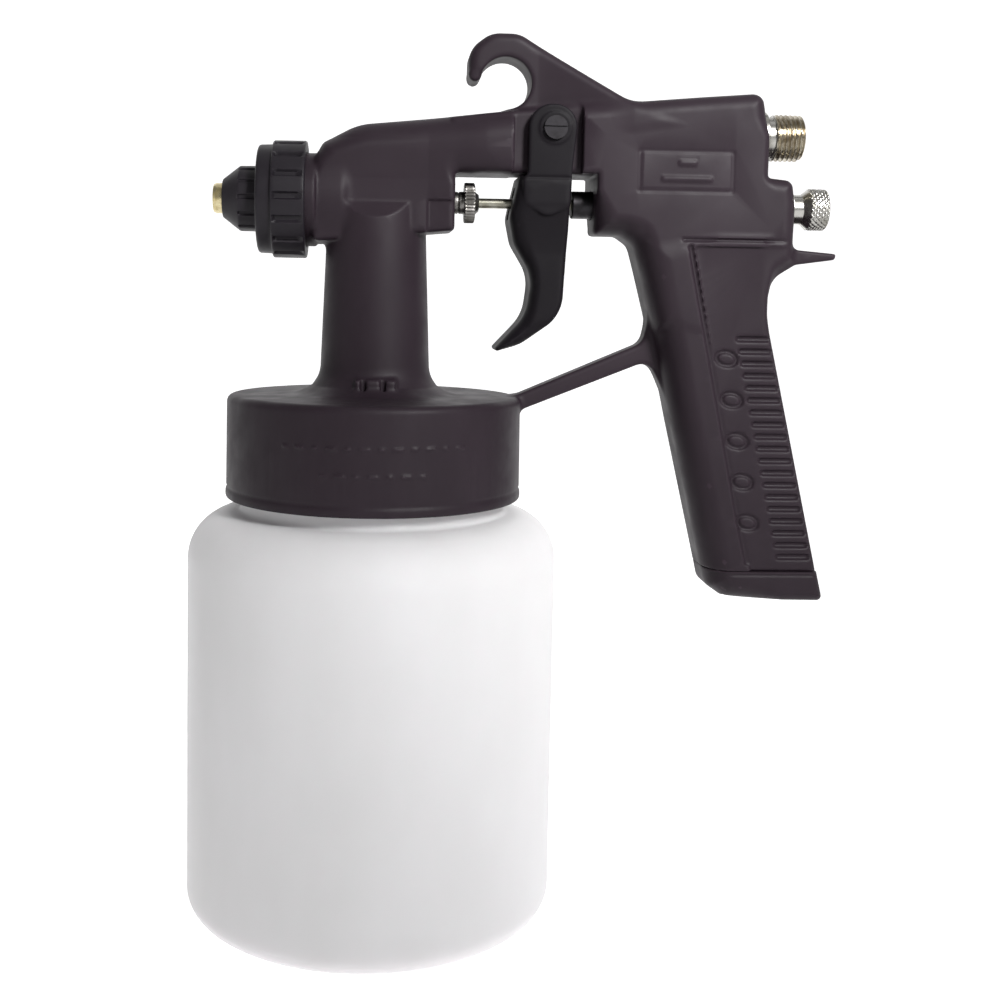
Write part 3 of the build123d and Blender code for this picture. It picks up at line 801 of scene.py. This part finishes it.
def grip_details(moulding):
    """Panel line, sunk rear panel, fine ribs and a row of plain ovals."""
    line = [(86.6, 186.6), (89.8, 171.0), (93.4, 154.5), (97.6, 134.0), (101.7, 114.0), (105.2, 98.6)]
    groove(moulding, line, 1.5, 0.9, GRIP_HALF)
    groove(moulding, [(84.5, 188.7), (117.5, 188.7)], 0.9, 0.55, BODY_HALF)
    panel = [
        (87.5, 187.0, 1.0), (94.1, 154.7, 0.0), (102.3, 114.2, 0.0),
        (107.0, 92.0, 0.0), (130.0, 92.0, 0.0), (130.0, 130.0, 0.0),
        (117.0, 187.0, 1.0),
    ]
    flat = slab(panel, 40.0, 0.1)[0]
    for side in (-1, 1):
        near, far = sorted((side * (GRIP_HALF - 0.8), side * 14))

        def sunk(x, y, z, side=side):
            return np.maximum(flat(x, 0 * y, z) + 0.2, PANEL_HALF - side * y)

        moulding.cut((sunk, ((86.0, near, 92.0), (131.0, far, 188.0))), 0.7)
    rib_count, rib_pitch, rib_lean = 19, 3.4, 0.74
    for i in range(rib_count):
        z = 161.5 - rib_pitch * i
        x0 = 100.9 + rib_lean * i
        groove(moulding, [(x0, z), (x0 + 8.2, z)], 1.7, 1.0, PANEL_HALF)
    oval_count, oval_pitch, oval_lean = 5, 11.5, 1.85
    for i in range(oval_count):
        z = 156.0 - oval_pitch * i
        x = 97.6 + oval_lean * i
        for side in (-1, 1):
            groove(moulding, oval(x, z, 2.9, 1.9), 1.1, 0.7, PANEL_HALF, (side,))


def lid_marks(moulding):
    """Two rows of short plain raised dashes round the front of the lid."""
    pitch = 6
    for height, first, count in ((133.0, -123, 12), (126.0, -108, 7)):
        for k in range(count):
            angle = math.radians(first + pitch * k)
            x, y = LID_R * math.cos(angle), LID_R * math.sin(angle)
            across = (-math.sin(angle), math.cos(angle))
            half_length = 1.3 if k % 2 else 0.8

            def dash(px, py, z, x=x, y=y, across=across, half_length=half_length, height=height):
                along = (px - x) * across[0] + (py - y) * across[1]
                out = np.hypot(px, py) - LID_R
                along, out = np.broadcast_arrays(along, out)
                flat = np.maximum(np.abs(along) - half_length, np.abs(z - height) - 0.4)
                return np.maximum(flat, np.abs(out - 0.1) - 0.4)

            box = ((x - 2.5, y - 2.5, height - 1), (x + 2.5, y + 2.5, height + 1))
            moulding.add((dash, box), 0.2)


def make_moulding():
    """Barrel, hook, block, grip, brace, neck and lid as the one moulding that they are."""
    field = Field((-45.0, -45.0, 92.0), (134.0, 45.0, 249.0))
    lid_shape(field)
    neck_shape(field)
    barrel_shape(field)
    block_shape(field)
    grip_shape(field)
    brace_shape(field)
    hook_shape(field)
    block_panel(field)
    grip_details(field)
    hollows(field)
    lid_marks(field)
    thing = moulded("moulding", field, 190000)
    thing.data.materials.append(BODY_NYLON)
    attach(thing, "gun")
    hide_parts("gun_body", "grip", "brace", "cup_lid")


# ------------------------------------------------------------------ trigger
def make_trigger():
    """Finger lever with two ear-shaped cheeks."""
    field = Field((28.0, -14.0, 153.0), (60.0, 14.0, 228.0), VOXEL * 0.8)
    finger = [
        (39.4, 205.7, 0.0), (36.7, 194.0, 6.0), (38.0, 187.0, 8.0),
        (43.4, 178.0, 11.0), (42.0, 167.0, 13.0), (31.9, 156.2, 0.7),
        (40.7, 158.9, 12.0), (51.8, 167.3, 11.0), (53.0, 190.0, 30.0),
        (53.2, 204.3, 0.0),
    ]
    flat, box = slab(finger, 30.0, 0.1)

    def rounded(x, y, z):
        edge = 1.6 + 2.6 * np.clip((48.0 - x) / 6.0, 0, 1)
        half = 9.4 + 2.8 * np.clip((z - 184.0) / 14.0, 0, 1) ** 1.5
        return joined(flat(x, 0 * y, z), np.abs(y) - half, edge)

    field.add((rounded, widened(box, 12.3)))
    cheek = [
        (41.2, 224.9, 6.4), (55.2, 224.9, 6.2), (53.4, 207.0, 6.0),
        (53.1, 197.0, 3.0), (46.5, 194.0, 4.0), (40.2, 198.0, 3.0),
        (39.9, 204.4, 1.0), (41.2, 206.2, 1.5),
    ]
    for side in (-1, 1):
        middle = side * (CHEEK_HALF - CHEEK_THICK / 2)
        field.add(slab(cheek, CHEEK_THICK / 2, 0.6, y=middle), 0.6)
        field.cut(cross(2.6, middle - 2, middle + 2, PIVOT_X, PIVOT_Z))
        outer = side * CHEEK_HALF
        field.add(cross(4.4, outer - 0.25, outer + 0.15, PIVOT_X, PIVOT_Z), 0.4)
        field.cut(cross(2.6, outer - 2, outer + 2, PIVOT_X, PIVOT_Z))
    field.cut(slab([(28, 206.0, 0), (62, 206.0, 0), (62, 230, 0), (28, 230, 0)], 9.28))
    groove(field, [(40.2, 204.9), (54.8, 204.9)], 0.7, 0.35, CHEEK_HALF)
    window = slab([(28, 193.9, 1.0), (62, 193.9, 1.0), (62, 202.7, 1.0), (28, 202.7, 1.0)], 2.1, 0.3)
    field.cut(window, 0.4)
    thing = moulded("trigger_lever", field, 60000)
    thing.data.materials.append(TRIGGER_NYLON)
    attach(thing, "trigger")
    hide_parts("trigger")


# ------------------------------------------------------------------ nose
def triangle(turns):
    """Triangle wave: 1 at each whole turn and 0 halfway between."""
    return abs(turns % 1 - 0.5) * 2


def clamp(value):
    """The value held between 0 and 1."""
    return max(0.0, min(1.0, value))


def make_ring_nut():
    """Ring nut with broad raised ribs and a plain collar in front."""
    corners = [
        (-32.9, 9.5, 0.2), (-32.9, 15.0, 0.9), (-28.75, 15.15, 0.2),
        (-28.75, 16.25, 0.5), (-19.5, 16.3, 0.5), (-19.5, 13.3, 0.2),
        (-30.9, 13.3, 0.1), (-30.9, 9.5, 0.1),
    ]
    count, front, rear = 16, -28.2, -20.4

    def ribs(angle, x, radius):
        if radius < 15.9 or not front < x < rear:
            return 0.0
        wave = triangle(angle * count / TURN)
        fade = min(1.0, (x - front) / 0.7, (rear - x) / 0.7)
        return -0.95 * fade * clamp((wave - 0.66) / 0.14)

    profile = rounded_profile(corners, 0.2, 0.7)
    thing = lathe("ring_nut_ribbed", profile, centre=AXIS_Z, parts=count * 28, relief=ribs)
    thing.data.materials.append(NOSE_NYLON)
    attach(thing, "ring_nut")
    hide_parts("ring_nut")


def make_air_cap():
    """Air cap with a short cone and axial slots."""
    corners = [
        (-42.8, 4.75, 0.2), (-42.8, 5.3, 0.4), (-38.0, 9.05, 0.8),
        (-30.6, 9.15, 0.1), (-30.6, 12.8, 0.2), (-28.6, 12.8, 0.1),
        (-28.6, 11.4, 0.1), (-29.6, 11.4, 0.1), (-29.6, 7.3, 0.1),
        (-37.0, 7.3, 0.1), (-40.2, 4.75, 0.1),
    ]
    count, front, rear = 12, -38.2, -33.2

    def slots(angle, x, radius):
        if not 8.2 <= radius <= 9.6 or not front < x < rear:
            return 0.0
        wave = triangle(angle * count / TURN)
        fade = min(1.0, (x - front) / 0.5, (rear - x) / 0.5)
        return -0.6 * fade * clamp((wave - 0.72) / 0.12)

    profile = rounded_profile(corners, 0.15, 0.5)
    thing = lathe("air_cap_slotted", profile, centre=AXIS_Z, parts=count * 24, relief=slots)
    thing.data.materials.append(NOSE_NYLON)
    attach(thing, "air_cap")
    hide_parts("air_cap")


# ------------------------------------------------------------------ metal fittings
def make_air_inlet():
    """Nipple with a real quarter-inch pipe thread."""
    crest, pitch, depth = 13.157 / 2, 1.337, 0.80
    corners = [
        (99.9, 3.2, 0.0), (99.9, 7.2, 0.3), (109.6, 7.2, 0.3),
        (109.6, 5.75, 0.1), (111.6, 5.75, 0.1), (111.6, crest, 0.3),
        (120.0, crest, 1.1), (120.0, 3.9, 0.4), (119.3, 3.2, 0.1),
    ]

    def thread(angle, x, radius):
        if radius < 5.6 or x < 111.65:
            return 0.0
        wave = triangle((x - 111.7) / pitch - angle / TURN)
        fade = min(1.0, (x - 111.65) / 0.25, max(0.0, (120.0 - x) / 0.5))
        return -depth * fade * clamp((wave - 0.12) / 0.76)

    profile = rounded_profile(corners, 0.12, 0.13)
    thing = lathe("air_inlet_threaded", profile, centre=INLET_Z, parts=120, relief=thread, smooth_angle=60)
    thing.data.materials.append(NICKEL)
    thing.data.materials.append(WARM_NICKEL)
    for face in thing.data.polygons:
        face.material_index = int(face.center.x > 0.1117)
    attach(thing, "gun")
    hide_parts("air_inlet")


def make_knob():
    """Paint screw with a diamond-knurled head."""
    corners = [
        (94.5, 0.0, 0.0), (94.5, 4.2, 0.4), (120.6, 4.2, 0.3),
        (122.3, 5.5, 0.3), (122.7, 5.88, 0.2), (127.6, 5.88, 0.4),
        (127.9, 4.6, 0.2), (127.9, 0.0, 0.0),
    ]
    starts = 24

    def diamonds(angle, x, radius):
        if radius < 5.6 or not 122.6 < x < 127.7:
            return 0.0
        turn = starts * angle / TURN
        lean = (x - 122.6) / 1.6
        a = triangle(turn + lean)
        b = triangle(turn - lean)
        return -0.34 * max(0.0, max(a, b) - 0.45) / 0.55

    profile = rounded_profile(corners, 0.2, 0.18)
    thing = lathe("paint_screw", profile, centre=AXIS_Z, parts=240, relief=diamonds, smooth_angle=60)
    thing.data.materials.append(NICKEL)
    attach(thing, "adjusting_knob")
    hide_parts("adjusting_knob")


def make_packing_nut():
    """Gland nut with a finely knurled flange."""
    corners = [
        (12.6, 1.55, 0.0), (12.6, 3.1, 0.2), (22.6, 3.1, 0.2),
        (22.9, 2.8, 0.1), (23.2, 3.15, 0.1), (24.5, 3.15, 0.1),
        (24.5, 5.65, 0.3), (27.4, 5.65, 0.5), (27.6, 3.2, 0.2),
        (28.6, 2.4, 0.2), (28.6, 1.55, 0.0),
    ]
    teeth = 36

    def knurl(angle, x, radius):
        if radius < 5.3:
            return 0.0
        fade = clamp(min((x - 24.5) / 0.3, (27.4 - x) / 0.3))
        return -0.3 * fade * triangle(angle * teeth / TURN)

    profile = rounded_profile(corners, 0.15, 0.4)
    thing = lathe("gland_nut", profile, centre=AXIS_Z, parts=teeth * 8, relief=knurl)
    thing.data.materials.append(DARK_NICKEL)
    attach(thing, "gun")
    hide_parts("packing_nut")


def make_spring():
    """Return spring behind the needle, carried by the spring seat."""
    low, high = node_box("needle_spring")
    wire, turns, steps, sides = 0.5, 7.5, 28, 10
    coil = high[1] - wire
    count = int(turns * steps) + 1
    first, last = low[0] + wire, high[0] - wire
    vertices = []
    for i in range(count):
        t = i / (count - 1)
        turn = TURN * turns * t
        out = np.array((0.0, math.cos(turn), math.sin(turn)))
        centre = np.array((first + (last - first) * t, 0.0, AXIS_Z)) + coil * out
        for k in range(sides):
            angle = TURN * k / sides
            ring = math.cos(angle) * out + np.array((math.sin(angle), 0.0, 0.0))
            vertices.append(centre + wire * ring)
    faces = []
    for i in range(count - 1):
        for k in range(sides):
            m = (k + 1) % sides
            a, b = i * sides, (i + 1) * sides
            faces.append((a + k, b + k, b + m, a + m))
    faces.append(tuple(range(sides)))
    faces.append(tuple((count - 1) * sides + k for k in reversed(range(sides))))
    thing = make_object("return_spring", vertices, faces, 60)
    thing.data.materials.append(STEEL)
    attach(thing, "spring_seat")
    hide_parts("needle_spring")
    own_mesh(thing)


# ------------------------------------------------------------------ cup
def make_cup():
    """Blow-moulded bottle, slightly uneven, with a neck thread."""
    wall = 1.8
    neck_r = 37.2
    shoulder = LID_BOTTOM_Z - 4.0
    corners = [
        (1.2, 33.0, 1.0), (0.0, 34.0, 6.0), (0.0, 50.2, 2.6),
        (3.0, CUP_R - 0.05, 5.0), (shoulder, CUP_R - 0.05, 13.0), (shoulder, neck_r, 1.2),
        (CUP_RIM_Z, neck_r, 0.5), (CUP_RIM_Z, neck_r - wall, 0.5),
        (shoulder - wall, neck_r - wall, 1.0),
        (shoulder - wall, CUP_R - wall, 11.2), (4.8, CUP_R - wall, 4.0), (wall + 0.4, 48.0, 1.5),
        (wall + 0.4, 0.0, 0.0), (1.2, 0.0, 0.0),
    ]
    pitch, first, last = 5.0, 114.0, 134.0

    def uneven(angle, z, radius):
        if radius > 45 and z > 6:
            swell = math.sin(2 * angle + 0.7) + 0.6 * math.sin(3 * angle + z * 0.03)
            return -0.05 + 0.035 * swell
        if radius > 36.9 and first < z < last:
            wave = triangle((z - first) / pitch - angle / TURN)
            fade = min(1.0, (z - first) / 3.0, (last - z) / 3.0)
            return 0.62 * fade * clamp((0.42 - wave) / 0.25)
        return 0.0

    thing = lathe("cup_bottle", rounded_profile(corners, 0.8, 1.2), axis="Z", parts=180, relief=uneven)
    thing.data.materials.append(MILKY)
    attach(thing, "cup")
    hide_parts("cup")


def make_grip_foot():
    """Flared foot that plugs the grip, with a fine line under its edge."""
    field = Field((88.0, -16.0, 84.0), (134.0, 16.0, 104.0), VOXEL * 0.7)
    side = [
        (90.3, 112.0, 0.0), (95.2, 91.0, 3.0), (99.8, 87.9, 4.0),
        (127.6, 87.65, 1.4), (121.8, 112.0, 0.0),
    ]
    flat, box = slab(side, 30.0, 0.1)

    def rounded(x, y, z):
        edge = 2.6 + 6.6 * np.clip(1 - (x - 94.0) / 22.0, 0, 1)
        wide = joined(flat(x, 0 * y, z), np.abs(y) - 13.0, edge)
        return np.maximum(wide, z - FOOT_TOP_Z + 0.05)

    field.add((rounded, widened(box, 13.3)))
    groove(field, [(99.0, 95.2), (125.0, 95.2)], 0.7, 0.35, 13.0)
    field.cut(slab([(100, 80, 0), (120, 80, 0), (120, 90.2, 1.0), (100, 90.2, 1.0)], 8.0, 0.5), 0.5)
    field.add(slab([(98.6, 94, 0), (99.4, 101.0, 1), (121.5, 101.0, 1), (122.6, 94, 0)], 9.4, 1.0))
    thing = moulded("grip_foot", field, 40000)
    thing.data.materials.append(BODY_NYLON)
    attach(thing, "gun")
    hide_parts("grip_cap")


# ------------------------------------------------------------------ CAD nodes that stay
def paint_cad(name, material):
    """Give a CAD node its finish."""
    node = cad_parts[name]
    node.data.materials.clear()
    node.data.materials.append(material)


CAD_FINISH = {
    "fluid_nozzle": BRASS,
    "knob_bush": NICKEL,
    "needle": STEEL,
    "thrust_washer": STEEL,
    "pin_clip": STEEL,
    "needle_lock_nut": DARK_NICKEL,
    "needle_carrier": BLACKENED,
    "trigger_pin": BLACKENED,
    "fluid_tube": ALUMINIUM,
    "tube_collar": BODY_NYLON,
    "cup_gasket": RUBBER,
    "inlet_seal": RUBBER,
    "nozzle_gasket": FIBRE,
    "needle_packing": FIBRE,
}


# ------------------------------------------------------------------ stage, light, camera
def make_stage():
    """Floor that curves up into a backdrop."""
    wide, back, radius = 3.0, 1.6, 0.8
    rows = [(-2.0, 0.0), (back - radius, 0.0)]
    for k in range(1, 13):
        angle = math.pi / 2 * k / 12
        rows.append((back - radius + radius * math.sin(angle), radius - radius * math.cos(angle)))
    rows.append((back, 3.0))
    vertices = [(x, y, z) for y, z in rows for x in (-wide, wide)]
    faces = [(2 * i, 2 * i + 1, 2 * i + 3, 2 * i + 2) for i in range(len(rows) - 1)]
    mesh = bpy.data.meshes.new("backdrop")
    mesh.from_pydata(vertices, [], faces)
    mesh.shade_smooth()
    floor = bpy.data.objects.new("backdrop", mesh)
    bpy.context.scene.collection.objects.link(floor)
    mesh.materials.append(backdrop_paint())


def hang(name, lamp, place, aim):
    """Put a lamp somewhere, turned towards its aim."""
    thing = bpy.data.objects.new(name, lamp)
    thing.location = place
    thing.rotation_euler = (Vector(aim) - Vector(place)).to_track_quat("-Z", "Y").to_euler()
    bpy.context.scene.collection.objects.link(thing)


def area_light(name, place, aim, size, power):
    """Soft rectangular lamp."""
    lamp = bpy.data.lights.new(name, "AREA")
    lamp.shape = "RECTANGLE"
    lamp.size, lamp.size_y = size
    lamp.energy = power
    hang(name, lamp, place, aim)


def spot_light(name, place, aim, cone, power, softness):
    """Round lamp whose light fades towards the edge of its cone."""
    lamp = bpy.data.lights.new(name, "SPOT")
    lamp.energy = power
    lamp.spot_size = math.radians(cone)
    lamp.spot_blend = 1.0
    lamp.shadow_soft_size = softness
    hang(name, lamp, place, aim)


def make_light():
    """Even pale studio light, with a soft beam from the upper right on the gun's upper half."""
    world = bpy.data.worlds.new("studio")
    world.use_nodes = True
    world.node_tree.nodes["Background"].inputs["Color"].default_value = (1.0, 1.0, 1.0, 1.0)
    world.node_tree.nodes["Background"].inputs["Strength"].default_value = 0.25
    bpy.context.scene.world = world
    middle = (0.03, 0.0, 0.15)
    area_light("key", (0.50, -0.65, 0.60), middle, (0.6, 0.6), 0.6)
    area_light("top", (0.05, 0.05, 0.95), middle, (0.7, 0.4), 0.4)
    area_light("left", (-0.75, -0.35, 0.25), middle, (0.35, 0.7), 0.4)
    spot_light("beam", (0.42, -0.66, 0.62), (0.09, 0.0, 0.23), 26.5, 72.0, 0.14)


def make_camera():
    """Camera nearly level with the grip, a little to the left of square on."""
    yaw, pitch, roll = math.radians(3.0), math.radians(4.0), math.radians(0.95)
    forward = Vector((math.sin(yaw) * math.cos(pitch), math.cos(yaw) * math.cos(pitch), -math.sin(pitch)))
    right = Vector((math.cos(yaw), -math.sin(yaw), 0.0))
    up = right.cross(forward)
    side = right * math.cos(roll) + up * math.sin(roll)
    top = up * math.cos(roll) - right * math.sin(roll)
    turn = Matrix((side, top, -forward)).transposed().to_4x4()
    lens = bpy.data.cameras.new("view")
    lens.lens, lens.sensor_width = 46.9, 36.0
    lens.shift_x, lens.shift_y = 0.0525, -0.118
    lens.clip_start, lens.clip_end = 0.01, 20.0
    camera = bpy.data.objects.new("view", lens)
    camera.matrix_world = Matrix.Translation((0.00135, -0.3694, 0.1735)) @ turn
    bpy.context.scene.collection.objects.link(camera)
    bpy.context.scene.camera = camera


make_camera()
make_light()
make_stage()
make_moulding()
make_trigger()
make_ring_nut()
make_air_cap()
make_air_inlet()
make_knob()
make_packing_nut()
make_spring()
make_cup()
make_grip_foot()
for node_name, finish in CAD_FINISH.items():
    paint_cad(node_name, finish)
bpy.context.scene.view_settings.view_transform = "Standard"
